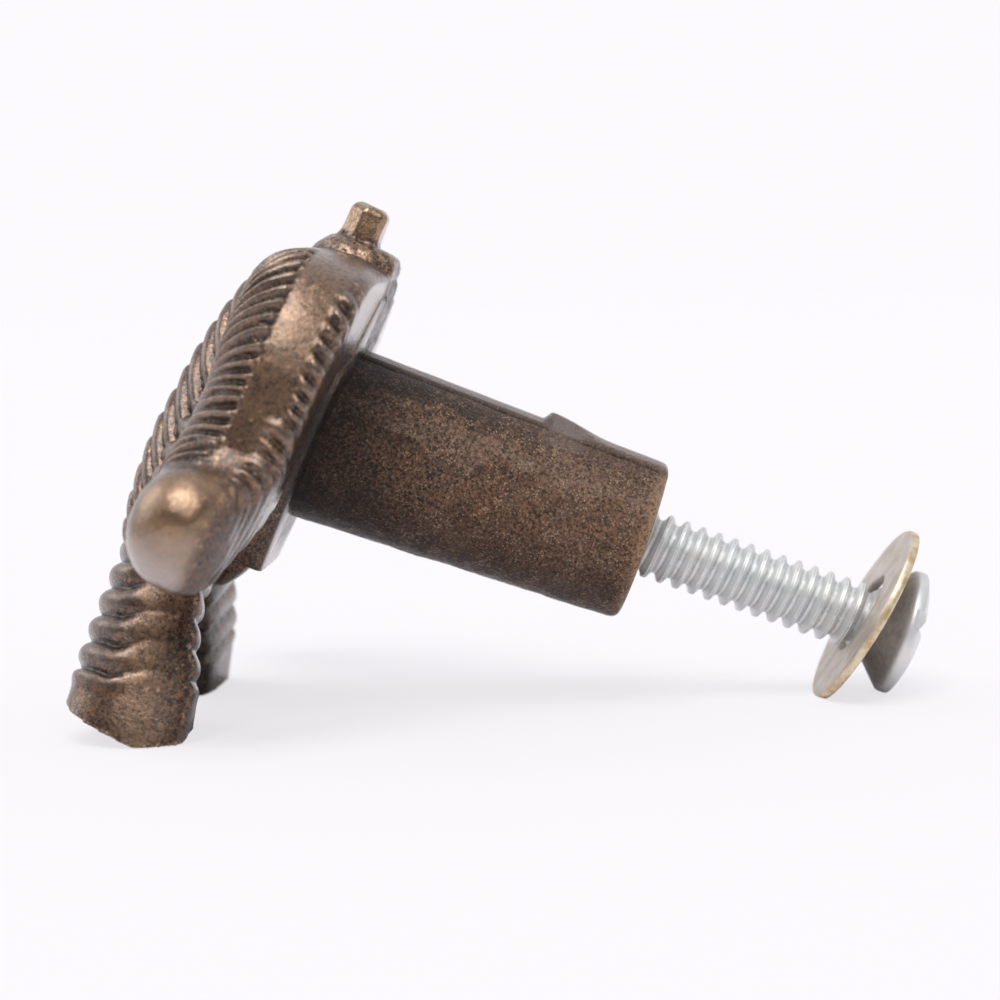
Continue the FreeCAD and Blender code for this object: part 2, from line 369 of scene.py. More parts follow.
def limb_relief(s, length, front, back, depth):
    """Barbs that sweep from a smooth band on the limb's outer edge towards its tip."""
    even = s - 0.04 * min(max(s - 15.0, 0.0), 4.4) ** 2 - 0.35 * max(s - 19.4, 0.0)
    fade = smoothstep((s - 6.5) / 2.0) * smoothstep((22.6 - s) / 0.9)
    across = np.maximum(front - 1.55, 0.0)
    bend = 1.0 - 0.4 * smoothstep((s - 14.0) / 4.0)
    sweep = bend * (0.26 * across + 0.055 * across ** 2)
    before = ridge((even - sweep) / BARB_PITCH) * smoothstep(across / 0.3)
    across = np.maximum(back - 1.0 + 0.8 * smoothstep((s - 16.0) / 1.5), 0.0)
    behind = ridge((even - 0.3 * across) / SCALLOP_PITCH + 0.3)
    behind = behind * smoothstep(across / 0.3) * smoothstep((depth + 0.1) / 0.5)
    behind = behind * smoothstep((s - 9.6) / 0.8) * smoothstep((26.5 - s) / 2.0)
    rubbed = smoothstep((1.75 - front) / 0.3) + smoothstep((1.3 - back) / 0.3)
    rubbed = rubbed * smoothstep((s - 7.0) / 2.0) * smoothstep((21.0 - s) / 4.0)
    return BARB_HEIGHT * np.where(front < back, fade * before, 0.8 * behind), rubbed


def leg_relief(s, length, front, back, depth):
    """Heavy ribs in front and scallops behind, a smoother band between, and a plain foot."""
    ahead = front < back
    slant = 0.45 * (np.minimum(front, 2.8) - 1.0)
    place = length - FOOT_LENGTH - s + np.where(ahead, slant, -0.15 * back - 0.45)
    ribs = ridge(place / LEG_PITCH) * smoothstep((place + 0.35) / 0.3)
    lip = np.exp(-((place + 0.55) / 0.4) ** 2) * 0.25
    strong = 0.10 + 0.85 * smoothstep((front - 1.1) / 1.6)
    behind = 0.10 + 0.6 * smoothstep((back - 1.7) / 1.1)
    rubbed = 0.8 * smoothstep((2.2 - front) / 0.8) + 0.6 * smoothstep((1.2 - back) / 0.6)
    return LEG_RIB_HEIGHT * (ribs + lip) * np.where(ahead, strong, behind), rubbed


def body_relief(s, length, front, back, depth):
    """Ribs that fall away from the body's middle line, closer together at the top."""
    even = s - 0.004 * s ** 2
    across = np.abs(0.25 * (front + back) - np.minimum(front, back))
    fade = smoothstep((s - 2.6) / 1.5)
    ribs = ridge((even - 0.8 * across) / BODY_PITCH)
    return BODY_RIB_HEIGHT * fade * ribs * smoothstep(depth - 1.0), np.zeros(AROUND)


def stand(points):
    """Ends the feet at one height, and flattens the soles where the knob rests."""
    foot = np.array([0.0, math.sin(HEAD_LEAN), math.cos(HEAD_LEAN)])
    reach = points @ foot + SHANK_LENGTH * math.sin(HEAD_LEAN)
    points = points + foot * np.maximum(FOOT_END_Z - reach, 0.0)[:, None]
    up = np.array([0.0, -math.sin(SOLE_TILT), math.cos(SOLE_TILT)])
    return points + up * np.maximum(SOLE_LEVEL - points @ up, 0.0)[:, None]


def stub_mesh():
    """The small blunt block on top of the figure, with bevelled edges."""
    cut, slant = 0.3, 0.9
    rings = []
    for z, inset in ((STUB_FOOT_Z, -0.25), (STUB_FOOT_Z + 1.0, -0.05), (STUB_FOOT_Z + 1.6, 0.0),
                     (STUB_TOP_Z - 0.5, 0.04), (STUB_TOP_Z - 0.22, 0.16), (STUB_TOP_Z, 0.5)):
        low, high = STUB_BACK + inset, STUB_FRONT - inset
        wide = STUB_HALF_WIDTH - inset
        x = np.array([-wide + cut, wide - cut, wide, wide, wide - slant, -wide + slant, -wide,
                      -wide])
        n = np.array([low, low, low + cut, high - slant, high, high, high - slant, low + cut])
        rings.append(at(x, np.full(8, z), n))
    points, faces = grid_mesh(rings)
    return points, faces, np.zeros((len(points), 2))


def smooth_bends(head):
    """Smooths the inside of the bend above each limb's tip, where its sections crowd."""
    co = read_points(head.data)
    weight = smoothstep((np.abs(co[:, 0]) - 15.0) / 1.2)
    group = head.vertex_groups.new(name="tips")
    for index in np.nonzero(weight > 0.02)[0]:
        group.add([int(index)], float(weight[index]), "REPLACE")
    calm = head.modifiers.new("calm", "SMOOTH")
    calm.factor = 0.5
    calm.iterations = 14
    calm.vertex_group = "tips"
    apply_modifiers(head)


def make_head():
    """All limbs joined into one skin, with uneven cast skin and marks for the material."""
    shells = [limb(BACK_PLATE), limb(BODY, body_relief, tip=BODY_TIP, start=BODY_START),
              stub_mesh()]
    for mirror, leg in ((1.0, LEG), (-1.0, FORWARD_LEG)):
        shells.append(limb(SIDE_LIMB, limb_relief, tip=LIMB_TIP, mirror=mirror))
        leg_points, leg_faces, leg_marks = limb(leg, leg_relief, mirror=mirror)
        shells.append((stand(leg_points), leg_faces, leg_marks))
    faces, start = [], 0
    for more_points, more_faces, _ in shells:
        faces += [tuple(index + start for index in face) for face in more_faces]
        start += len(more_points)
    points = np.vstack([shell[0] for shell in shells])
    marks = np.vstack([shell[2] for shell in shells])
    head = make_object("head_detail", points, faces, scale=1.0)
    join = head.modifiers.new("join", "REMESH")
    join.mode = "VOXEL"
    join.voxel_size = VOXEL
    join.use_smooth_shade = True
    soften = head.modifiers.new("soften", "SMOOTH")
    soften.factor = 0.5
    soften.iterations = 2
    apply_modifiers(head)
    smooth_bends(head)

    tree = KDTree(len(points))
    for index, point in enumerate(points):
        tree.insert(point, index)
    tree.balance()
    co, normals = read_points(head.data), read_normals(head.data)
    nearest = [tree.find(point)[1] for point in co]
    for column, name in enumerate(("relief", "rubbed")):
        add_attribute(head, name, marks[nearest, column])

    # lift is the distance from the flat back; tail and dome are the rough top
    lift = -(co[:, 1] + SHANK_LENGTH) * math.cos(HEAD_LEAN) + co[:, 2] * math.sin(HEAD_LEAN)
    rough = smoothstep((lift - 0.25) / 0.6)
    tail = smoothstep((co[:, 2] - 5.0) / 0.8) * smoothstep((0.5 - lift) / 0.3)
    dome = np.maximum(smoothstep((co[:, 2] - 9.8) / 1.2), tail)
    dome = dome * smoothstep((4.0 - np.abs(co[:, 0])) / 1.0)
    dome = dome * (1.0 - 0.85 * smoothstep((co[:, 2] - 11.9) / 0.4))
    swell = 0.05 * noise(co, 2.6, 2) + (0.02 + 0.15 * dome) * noise(co, 0.9, 3, shift=5.0)
    co = co + normals * (np.maximum(rough, dome) * swell)[:, None]
    # painted shade round the shank's root, below the dome and between the legs
    away = np.hypot(co[:, 0], co[:, 2])
    crevice_shade = smoothstep((8.6 - away) / 1.6) * smoothstep((1.5 - lift) / 0.9)
    crevice_shade = np.maximum(crevice_shade, 0.8 * tail * smoothstep((4.6 - np.abs(co[:, 0])) / 0.6))
    rows = np.array(LEG[::-1])
    inward = np.interp(co[:, 2], rows[:, 1], rows[:, 0]) - np.abs(co[:, 0])
    crevice_shade = np.maximum(crevice_shade, 0.7 * smoothstep((inward - 0.4) / 1.0)
                         * smoothstep((-9.5 - co[:, 2]) / 2.0))
    tip = smoothstep((np.abs(co[:, 0]) - 16.6) / 2.2) * smoothstep((lift - 2.2) / 1.0)
    add_attribute(head, "crevice_shade", crevice_shade)
    add_attribute(head, "tip", tip)
    co = np.clip(co, np.array(HEAD_LOW) - 0.3, np.array(HEAD_HIGH) + 0.3) * MM
    head.data.vertices.foreach_set("co", co.ravel())
    head.data.update()
    return head


# ---------------------------------------------------------------- the shank
def make_shank():
    """The tapered shank: rough cast skin, raised parting strip, ground gate and hole."""
    around = 220
    angle = np.linspace(0, TAU, around, endpoint=False)
    rings, marks = [], []

    def add(y, radius, rough=1.0):
        """One ring of the skin; rough is 0 in the hole and 1 on the cast outside."""
        y = np.full(around, y) if np.isscalar(y) else y
        x, z = radius * np.sin(angle), radius * np.cos(angle)
        point = np.stack([x, y, z], axis=1)
        outward = np.stack([np.sin(angle), np.zeros(around), np.cos(angle)], axis=1)
        cast = CAST_LUMPS * noise(point, 2.2, 2, 3.0) + CAST_GRAIN * noise(point, 0.55, 3, 9.0)
        flat = np.sqrt(np.maximum(radius ** 2 - PARTING_HALF_WIDTH ** 2, 0.01))
        on_strip = smoothstep((PARTING_HALF_WIDTH + 0.12 - np.abs(x)) / 0.16) * (z > 0)
        wander = 0.12 + 0.12 * noise(np.stack([x * 0, y, z * 0], axis=1), 1.6, 2, 21.0)
        lip = np.exp(-((np.abs(x) - PARTING_HALF_WIDTH - wander) / 0.2) ** 2) * (z > 0)
        reach = (y - GATE_START) / GATE_LENGTH
        gate = smoothstep(reach / 0.12) * smoothstep((1.05 - reach) / 0.9)
        gate = GATE_HEIGHT * gate * smoothstep((GATE_HALF_WIDTH - np.abs(x)) / 0.35) * (z > 0)
        strip = PARTING_HEIGHT + PARTING_STEP * smoothstep((y - GATE_START) / 0.6)
        skin = rough * (cast * (1 - 0.8 * on_strip) - LIP_DEPTH * lip)
        point = point + outward * skin[:, None]
        top = 0.5 * (flat + z) + strip + 0.012 * noise(point, 0.7, 2)
        if rough:
            raised = point[:, 2] * (1 - on_strip) + top * on_strip + gate
            point[:, 2] = np.where(z > 0, raised, point[:, 2])
            turned = point[:, 0] * math.sin(GRIND_TURN) + point[:, 2] * math.cos(GRIND_TURN)
            window = smoothstep((reach - 0.06) / 0.1) * smoothstep((0.75 - reach) / 0.2)
            cut = np.maximum(turned - GRIND_R, 0.0) * window
            point[:, 0] -= cut * math.sin(GRIND_TURN)
            point[:, 2] -= cut * math.cos(GRIND_TURN)
            smooth = np.maximum(on_strip, 0.25 * smoothstep(cut / 0.05))
        else:
            smooth = np.zeros(around)
        rings.append(point)
        marks.append(smooth)

    add(-BORE_DEPTH - BORE_POINT, 0.06, 0.0)
    add(-BORE_DEPTH, BORE_R, 0.0)
    for y in np.linspace(-BORE_DEPTH, -BORE_CHAMFER, 30)[1:]:
        add(y, BORE_R, 0.0)
    add(0.0, BORE_R + BORE_CHAMFER, 0.0)
    for radius in np.linspace(BORE_R + BORE_CHAMFER, SHANK_END_R - SHANK_EDGE_ROUND, 10)[1:]:
        add(0.0, radius, 0.0)
    for turn in np.linspace(0, math.pi / 2, 9)[1:]:
        add(-SHANK_EDGE_ROUND * (1 - math.cos(turn)),
            SHANK_END_R - SHANK_EDGE_ROUND * (1 - math.sin(turn)), math.sin(turn))
    ring_step = 0.1
    into_head = 1.2
    for y in np.arange(SHANK_EDGE_ROUND + ring_step, SHANK_LENGTH + into_head, ring_step):
        add(-y, SHANK_END_R + (SHANK_ROOT_R - SHANK_END_R) * y / SHANK_LENGTH)
    for ring in rings:
        root = -SHANK_LENGTH + ring[:, 2] * math.tan(HEAD_LEAN) - 0.12
        ring[:, 1] = np.maximum(ring[:, 1], root)
    shank = make_object("shank_detail", *grid_mesh(rings))
    add_attribute(shank, "filed", np.concatenate(marks + [np.zeros(2)]))
    return shank


# ---------------------------------------------------------------- screw and washer
def thread_height(distance):
    """Height of the thread above the core at a distance along the axis from its crest."""
    straight = np.clip(1 - (distance - 0.10) / 0.30, 0.0, 1.0)
    flank = 0.7 * straight + 0.3 * smoothstep(straight)
    seam = 0.05 * np.exp(-(distance / 0.03) ** 2)
    return (THREAD_CREST_R - THREAD_CORE_R) * flank - seam


def make_screw():
    """One skin from the point to the domed head, with a rolled thread, then the slot."""
    around = 144
    step = 0.04
    angle = np.linspace(0, TAU, around, endpoint=False)
    tip = SCREW_LOW[1]
    neck = SCREW_RIM_AT - SCREW_RIM_HEIGHT - (SCREW_RIM_R - THREAD_CORE_R)
    rings = []

    def add(y, radius, thread=0.0):
        """One ring of the skin; thread is how much of the thread's height it has."""
        crest = THREAD_CREST_AT - THREAD_PITCH * angle / TAU
        gap = (y - crest) / THREAD_PITCH
        distance = np.abs(gap - np.round(gap)) * THREAD_PITCH
        turning = np.stack([np.sin(angle), np.full(around, y * 0.4), np.cos(angle)], axis=1)
        uneven = 1 + 0.05 * noise(turning * 2.0, 1.1, 2)
        wide = radius + thread * thread_height(distance) * uneven
        rings.append(np.stack([wide * np.sin(angle), np.full(around, y),
                               wide * np.cos(angle)], axis=1))

    add(tip, 0.15)
    add(tip, THREAD_CORE_R - POINT_CHAMFER)
    add(tip + POINT_CHAMFER / 2, THREAD_CORE_R - 0.4 * POINT_CHAMFER)
    for y in np.arange(tip + POINT_CHAMFER, neck, step):
        run_in = smoothstep((y - tip - POINT_CHAMFER) / 0.9)
        run_out = smoothstep((neck + 0.35 - y) / 0.7)
        add(y, THREAD_CORE_R, run_in * run_out)
    for part in np.linspace(0, 1, 24):
        y = neck + part * (SCREW_RIM_R - 0.05 - THREAD_CORE_R)
        run_out = smoothstep((neck + 0.35 - y) / 0.7)
        add(y, THREAD_CORE_R + (y - neck), run_out)
    rim_foot = SCREW_RIM_AT - SCREW_RIM_HEIGHT
    add(rim_foot + 0.05, SCREW_RIM_R - 0.02)
    add(rim_foot + 0.14, SCREW_RIM_R)
    add(SCREW_RIM_AT - 0.2, SCREW_RIM_R)
    add(SCREW_RIM_AT - 0.07, SCREW_RIM_R - 0.03)
    rim = SCREW_RIM_R - EDGE_EASE
    dome_height = SCREW_HIGH[1] - SCREW_RIM_AT
    for radius in np.linspace(rim, 0.05, 26):
        add(SCREW_RIM_AT + dome_height * (1 - (radius / rim) ** DOME_POWER), radius)
    screw = make_object("screw_detail", *grid_mesh(rings))

    half, deep, long = SLOT_WIDTH / 2, SCREW_HIGH[1] - SLOT_DEPTH, 1.5 * SCREW_RIM_R
    corners = []
    for y, wide in ((deep, half - 0.05), (deep + 0.12, half), (SCREW_HIGH[1] + 1.0, half + 0.08)):
        for x, z in ((-long, -wide), (long, -wide), (long, wide), (-long, wide)):
            corners.append((x * math.cos(SLOT_TURN) - z * math.sin(SLOT_TURN), y,
                            z * math.cos(SLOT_TURN) + x * math.sin(SLOT_TURN)))
    corners = np.array(corners)
    cutter = make_object("slot_cutter", *grid_mesh([corners[:4], corners[4:8], corners[8:]]))
    cut = screw.modifiers.new("slot", "BOOLEAN")
    cut.operation = "DIFFERENCE"
    cut.solver = "EXACT"
    cut.object = cutter
    apply_modifiers(screw)
    bpy.data.objects.remove(cutter)
    return screw


def make_washer():
    """A punched washer: rolled-over edge on one face, a torn rim, and slightly wavy."""
    around = 300
    angle = np.linspace(0, TAU, around, endpoint=False)
    half = WASHER_THICKNESS / 2
    outline = [(WASHER_HOLE_R + 0.12, -half), (WASHER_HOLE_R + 0.03, -half + 0.06),
               (WASHER_HOLE_R, -half + 0.2), (WASHER_HOLE_R + 0.02, half - 0.05),
               (WASHER_HOLE_R + 0.08, half)]
    outline += [(r, half) for r in np.linspace(WASHER_HOLE_R + 0.3, WASHER_R - 0.3, 14)]
    outline += [(WASHER_R - 0.05, half), (WASHER_R, half - 0.06), (WASHER_R, 0.0)]
    outline += [(WASHER_R - WASHER_ROLL * (1 - math.cos(turn)) - 0.02,
                 -half + WASHER_ROLL * (1 - math.sin(turn)))
                for turn in np.linspace(0, math.pi / 2, 6)]
    outline += [(r, -half) for r in np.linspace(WASHER_R - 0.5, WASHER_HOLE_R + 0.3, 14)]
    rings = []
    for radius, y in outline:
        torn = smoothstep((radius - WASHER_R + 0.3) / 0.25)
        x, z = np.sin(angle), np.cos(angle)
        place = np.stack([x * radius, np.full(around, y * 3.0), z * radius], axis=1)
        wide = radius + torn * (0.035 * noise(place, 0.45, 3) - 0.03)
        wave = 0.02 * noise(place, 3.0, 1) + 0.006 * noise(place, 0.5, 2)
        rings.append(np.stack([wide * x, y + wave, wide * z], axis=1))
    points, faces = grid_mesh(rings, poles=False)
    cos, sin = math.cos(WASHER_LEAN), math.sin(WASHER_LEAN)
    leaned = np.stack([points[:, 0], points[:, 1] * cos + points[:, 2] * sin,
                       points[:, 2] * cos - points[:, 1] * sin], axis=1)
    return make_object("washer_detail", leaned + WASHER_CENTRE, faces)


# ---------------------------------------------------------------- materials
class Nodes:
    """A short way to write a node material; texture coordinates are millimetres."""

    def __init__(self, name):
        self.material = bpy.data.materials.new(name)
        self.material.use_nodes = True
        self.tree = self.material.node_tree
        self.tree.nodes.clear()
        self.out = self.add("ShaderNodeOutputMaterial")
        self.shader = self.add("ShaderNodeBsdfPrincipled")
        self.link(self.shader.outputs["BSDF"], self.out.inputs["Surface"])
        place = self.add("ShaderNodeTexCoord")
        scale = self.add("ShaderNodeVectorMath", operation="SCALE")
        scale.inputs["Scale"].default_value = 1 / MM
        self.link(place.outputs["Object"], scale.inputs[0])
        self.mm = scale.outputs[0]

    def add(self, kind, **values):
        """A new node with its settings."""
        node = self.tree.nodes.new(kind)
        for key, value in values.items():
            setattr(node, key, value)
        return node

    def link(self, source, target):
        self.tree.links.new(source, target)

    def put(self, source, target):
        """Gives a socket either another node's output or a plain value."""
        if hasattr(source, "is_linked"):
            self.link(source, target)
        else:
            target.default_value = source

    def noise(self, scale, detail=4.0, rough=0.55, stretch=None):
        """Noise with scale lumps to a millimetre."""
        node = self.add("ShaderNodeTexNoise")
        node.inputs["Scale"].default_value = scale
        node.inputs["Detail"].default_value = detail
        node.inputs["Roughness"].default_value = rough
        vector = self.mm
        if stretch is not None:
            mapping = self.add("ShaderNodeMapping")
            mapping.inputs["Scale"].default_value = stretch
            self.link(vector, mapping.inputs["Vector"])
            vector = mapping.outputs[0]
        self.link(vector, node.inputs["Vector"])
        return node.outputs["Fac"]

    def ramp(self, value, *stops):
        """Colours or greys at places along value, as (place, colour) stops."""
        node = self.add("ShaderNodeValToRGB")
        ramp = node.color_ramp
        while len(ramp.elements) < len(stops):
            ramp.elements.new(0.5)
        for element, (place, colour) in zip(ramp.elements, stops):
            element.position = place
            grey = not hasattr(colour, "__len__")
            element.color = (colour, colour, colour, 1) if grey else (*colour, 1)
        self.put(value, node.inputs["Fac"])
        return node.outputs["Color"]

    def maths(self, operation, *values, clamp=False):
        """One sum on sockets or plain values."""
        node = self.add("ShaderNodeMath", operation=operation, use_clamp=clamp)
        for value, socket in zip(values, node.inputs):
            self.put(value, socket)
        return node.outputs[0]

    def times(self, first, second):
        return self.maths("MULTIPLY", first, second)

    def most(self, first, second):
        """The larger of two masks at each place."""
        return self.maths("MAXIMUM", first, second)

    def mark(self, name):
        """A number stored at the mesh's points by add_attribute."""
        return self.add("ShaderNodeAttribute", attribute_name=name).outputs["Fac"]

    def split(self, vector):
        """The X, Y and Z of a vector."""
        node = self.add("ShaderNodeSeparateXYZ")
        self.link(vector, node.inputs[0])
        return node.outputs

    def mix(self, amount, first, second):
        """A colour that goes from first to second as amount goes from 0 to 1."""
        node = self.add("ShaderNodeMix", data_type="RGBA")
        self.put(amount, node.inputs[0])
        for value, socket in ((first, node.inputs[6]), (second, node.inputs[7])):
            self.put(value if hasattr(value, "is_linked") else (*value, 1), socket)
        return node.outputs[2]

    def bump(self, height, distance, strength=1.0, after=None):
        """A bumpy normal; distance is the bumps' height in millimetres."""
        node = self.add("ShaderNodeBump")
        node.inputs["Strength"].default_value = strength
        node.inputs["Distance"].default_value = distance * MM
        self.link(height, node.inputs["Height"])
        if after is not None:
            self.link(after, node.inputs["Normal"])
        return node.outputs["Normal"]


# colours, as linear red, green and blue
DARK_PATINA = (0.026, 0.020, 0.017)
BROWN_PATINA = (0.185, 0.098, 0.056)
GREY_PATINA = (0.150, 0.110, 0.090)
RUST_BROWN = (0.290, 0.125, 0.052)
COPPERY = (0.360, 0.190, 0.110)
SHEEN_BROWN = (0.440, 0.310, 0.240)
BRIGHT_FLECK = (0.680, 0.480, 0.310)
GOLDEN_BRASS = (0.50, 0.315, 0.175)
SILVER_REFLECTION = (0.42, 0.37, 0.34)
BAND_BROWN = (0.165, 0.090, 0.052)
FILED_BROWN = (0.25, 0.20, 0.18)
GROOVE_BLACK = (0.007, 0.006, 0.005)
ZINC_COOL = (0.76, 0.79, 0.80)
ZINC_WARM = (0.84, 0.84, 0.82)
ZINC_OXIDE = (0.16, 0.16, 0.17)
ZINC_SHADE = (0.24, 0.20, 0.17)
WASHER_DULL = (0.56, 0.49, 0.43)
WASHER_PALE = (0.72, 0.65, 0.58)
WASHER_GOLD = (0.62, 0.47, 0.27)
WASHER_BRIGHT = (0.86, 0.74, 0.55)
# a ramp reads 0 to 1, so places along the head and the screw are divided by this length
RAMP_LENGTH = 20.0
BRASS_METALLIC = 0.75
HEAD_COAT = 0.9
SHANK_COAT = 0.35
COAT_ROUGHNESS = 0.18
SHINY_ROUGHNESS = (0.16, 0.16, 0.16)
SPECULAR = 0.5


def brass_base(n, grains, clouds, spread):
    """The patina's grain, its colour, its gold flecks, and the height of its fine grit.

    grains is how many there are to a millimetre, clouds how much they gather in clouds, and
    spread how softly dark and brown run into each other.
    """
    cells = n.add("ShaderNodeTexVoronoi")
    cells.inputs["Scale"].default_value = 1.7 * grains
    n.link(n.mm, cells.inputs["Vector"])
    chance = n.add("ShaderNodeSeparateColor")
    n.link(cells.outputs["Color"], chance.inputs[0])
    single = n.times(n.maths("SUBTRACT", chance.outputs[0], 0.5), 0.2)
    grain = n.maths("ADD", n.noise(grains, 6.0, 0.68), single)
    cloud = n.noise(0.33, 4.0)
    shifted = n.maths("ADD", grain, n.times(n.maths("SUBTRACT", cloud, 0.5), clouds))
    base = n.mix(n.ramp(shifted, (0.5 - spread, 0.0), (0.5 + spread, 1.0)), DARK_PATINA,
                 BROWN_PATINA)
    rust = n.times(n.ramp(n.noise(1.1, 4.0), (0.52, 0.0), (0.66, 0.8)),
                   n.ramp(grain, (0.45, 0.0), (0.6, 1.0)))
    base = n.mix(rust, base, RUST_BROWN)
    flecks = n.times(n.ramp(chance.outputs[1], (0.55, 0.0), (0.90, 1.0)),
                     n.ramp(cells.outputs["Distance"], (0.20, 1.0), (0.62, 0.0)))
    flecks = n.times(flecks, n.ramp(n.noise(0.9, 3.0), (0.40, 0.3), (0.60, 1.0)))
    return grain, base, flecks, cells.outputs["Distance"]


def finish_brass(n, colour, rough_low, rough_high, coat, smoother):
    """Metal under a thin lacquer; smoother is a mask of the places that shine more."""
    n.link(colour, n.shader.inputs["Base Color"])
    n.shader.inputs["Metallic"].default_value = BRASS_METALLIC
    n.shader.inputs["Coat Weight"].default_value = coat
    n.shader.inputs["Coat Roughness"].default_value = COAT_ROUGHNESS
    rough = n.ramp(n.noise(1.7, 4.0), (0.3, rough_low), (0.7, rough_high))
    n.link(n.mix(smoother, rough, SHINY_ROUGHNESS), n.shader.inputs["Roughness"])


def head_material():
    """Lacquered antique brass: black in the grooves, ridges greyed as patina and painted
    highlight, gold where it is rubbed, with painted shade in the crevices and painted reflection
    under the tips.
    """
    n = Nodes("antique_brass_head")
    pointed = n.add("ShaderNodeNewGeometry").outputs["Pointiness"]
    relief = n.mark("relief")
    rubbed = n.mark("rubbed")
    grain, base, flecks, _ = brass_base(n, 4.2, 0.45, 0.12)
    # ridge tops lightened with grey: part patina, part painted highlight
    ridge_top = n.ramp(relief, (0.03, 0.0), (0.22, 0.75))
    base = n.mix(ridge_top, base, GREY_PATINA)
    cloudy = n.maths("ADD", n.times(grain, 0.6), n.times(n.noise(1.5, 4.0), 0.4))
    band = n.times(rubbed, n.ramp(cloudy, (0.40, 0.10), (0.60, 0.58)))
    high = n.times(n.ramp(pointed, (0.51, 0.0), (0.57, 0.8)),
                   n.ramp(grain, (0.40, 0.1), (0.6, 1.0)))
    place = n.split(n.mm)
    reach = n.maths("DIVIDE", n.maths("ABSOLUTE", place["X"]), RAMP_LENGTH)
    tip = n.mark("tip")
    patch = n.ramp(n.noise(0.55, 3.0), (0.34, 0.22), (0.64, 0.52))
    height = n.maths("DIVIDE", place["Z"], RAMP_LENGTH)
    crown = n.ramp(height, (0.52, 0.0), (0.56, 0.35))
    crown = n.times(crown, n.ramp(grain, (0.42, 0.0), (0.62, 1.0)))
    stub = n.ramp(height, (0.605, 0.0), (0.615, 1.0))
    stub_gold = n.times(stub, n.ramp(cloudy, (0.4, 0.35), (0.6, 0.75)))
    crown = n.most(crown, stub_gold)
    base = n.mix(n.times(rubbed, n.ramp(cloudy, (0.40, 0.2), (0.56, 1.0))), base, BAND_BROWN)
    worn = n.most(n.times(band, 0.35), high)
    worn = n.most(worn, n.most(n.times(tip, patch), crown))
    worn = n.maths("MAXIMUM", worn, n.times(flecks, 0.5), clamp=True)
    colour = n.mix(worn, base, GOLDEN_BRASS)
    # painted reflection: the downward-facing undersides of the limb tips are lightened to silver
    facing = n.add("ShaderNodeVectorTransform", vector_type="NORMAL", convert_from="WORLD",
                   convert_to="OBJECT")
    n.link(n.add("ShaderNodeNewGeometry").outputs["Normal"], facing.inputs[0])
    turned = n.split(facing.outputs[0])
    under = n.ramp(n.maths("ADD", turned["Z"], 1.0), (0.45, 1.0), (0.95, 0.0))
    colour = n.mix(n.times(n.times(tip, under), 0.8), colour, SILVER_REFLECTION)
    # the filed flat back is lightened to silver: filed metal with a painted reflection
    filed = n.times(n.ramp(turned["Y"], (0.92, 0.0), (0.98, 1.0)),
                    n.ramp(reach, (0.16, 0.0), (0.20, 1.0), (0.58, 1.0), (0.66, 0.0)))
    above_legs = n.ramp(n.maths("ADD", place["Z"], 10.0), (0.0, 0.0), (1.0, 1.0))
    filed = n.times(filed, above_legs)
    colour = n.mix(n.times(filed, 0.5), colour, SILVER_REFLECTION)
    groove = n.ramp(n.maths("ADD", relief, 0.5), (0.20, 1.0), (0.50, 0.0))
    low = n.most(n.ramp(pointed, (0.44, 1.0), (0.49, 0.0)), groove)
    colour = n.mix(n.times(low, 0.92), colour, GROOVE_BLACK)
    # painted shade blackens round the shank's root, below the dome and between the legs
    crevice_shade = n.mark("crevice_shade")
    colour = n.mix(n.times(crevice_shade, 0.9), colour, GROOVE_BLACK)
    smoother = n.most(n.most(filed, n.times(tip, 0.4)), n.times(stub, 0.8))
    finish_brass(n, colour, 0.24, 0.38, HEAD_COAT, smoother)
    # less metal, coat and specular where the painted shade lies
    unshaded = n.maths("SUBTRACT", 1.0, n.times(crevice_shade, 0.6))
    for socket, full in (("Metallic", BRASS_METALLIC), ("Coat Weight", HEAD_COAT),
                         ("Specular IOR Level", SPECULAR)):
        n.link(n.times(unshaded, full), n.shader.inputs[socket])
    pits = n.bump(n.noise(6.0, 5.0, 0.7), 0.05, 0.45)
    soft = n.bump(n.noise(1.7, 3.0), 0.14, 0.30, after=pits)
    n.link(soft, n.shader.inputs["Normal"])
    n.link(soft, n.shader.inputs["Coat Normal"])
    return n.material


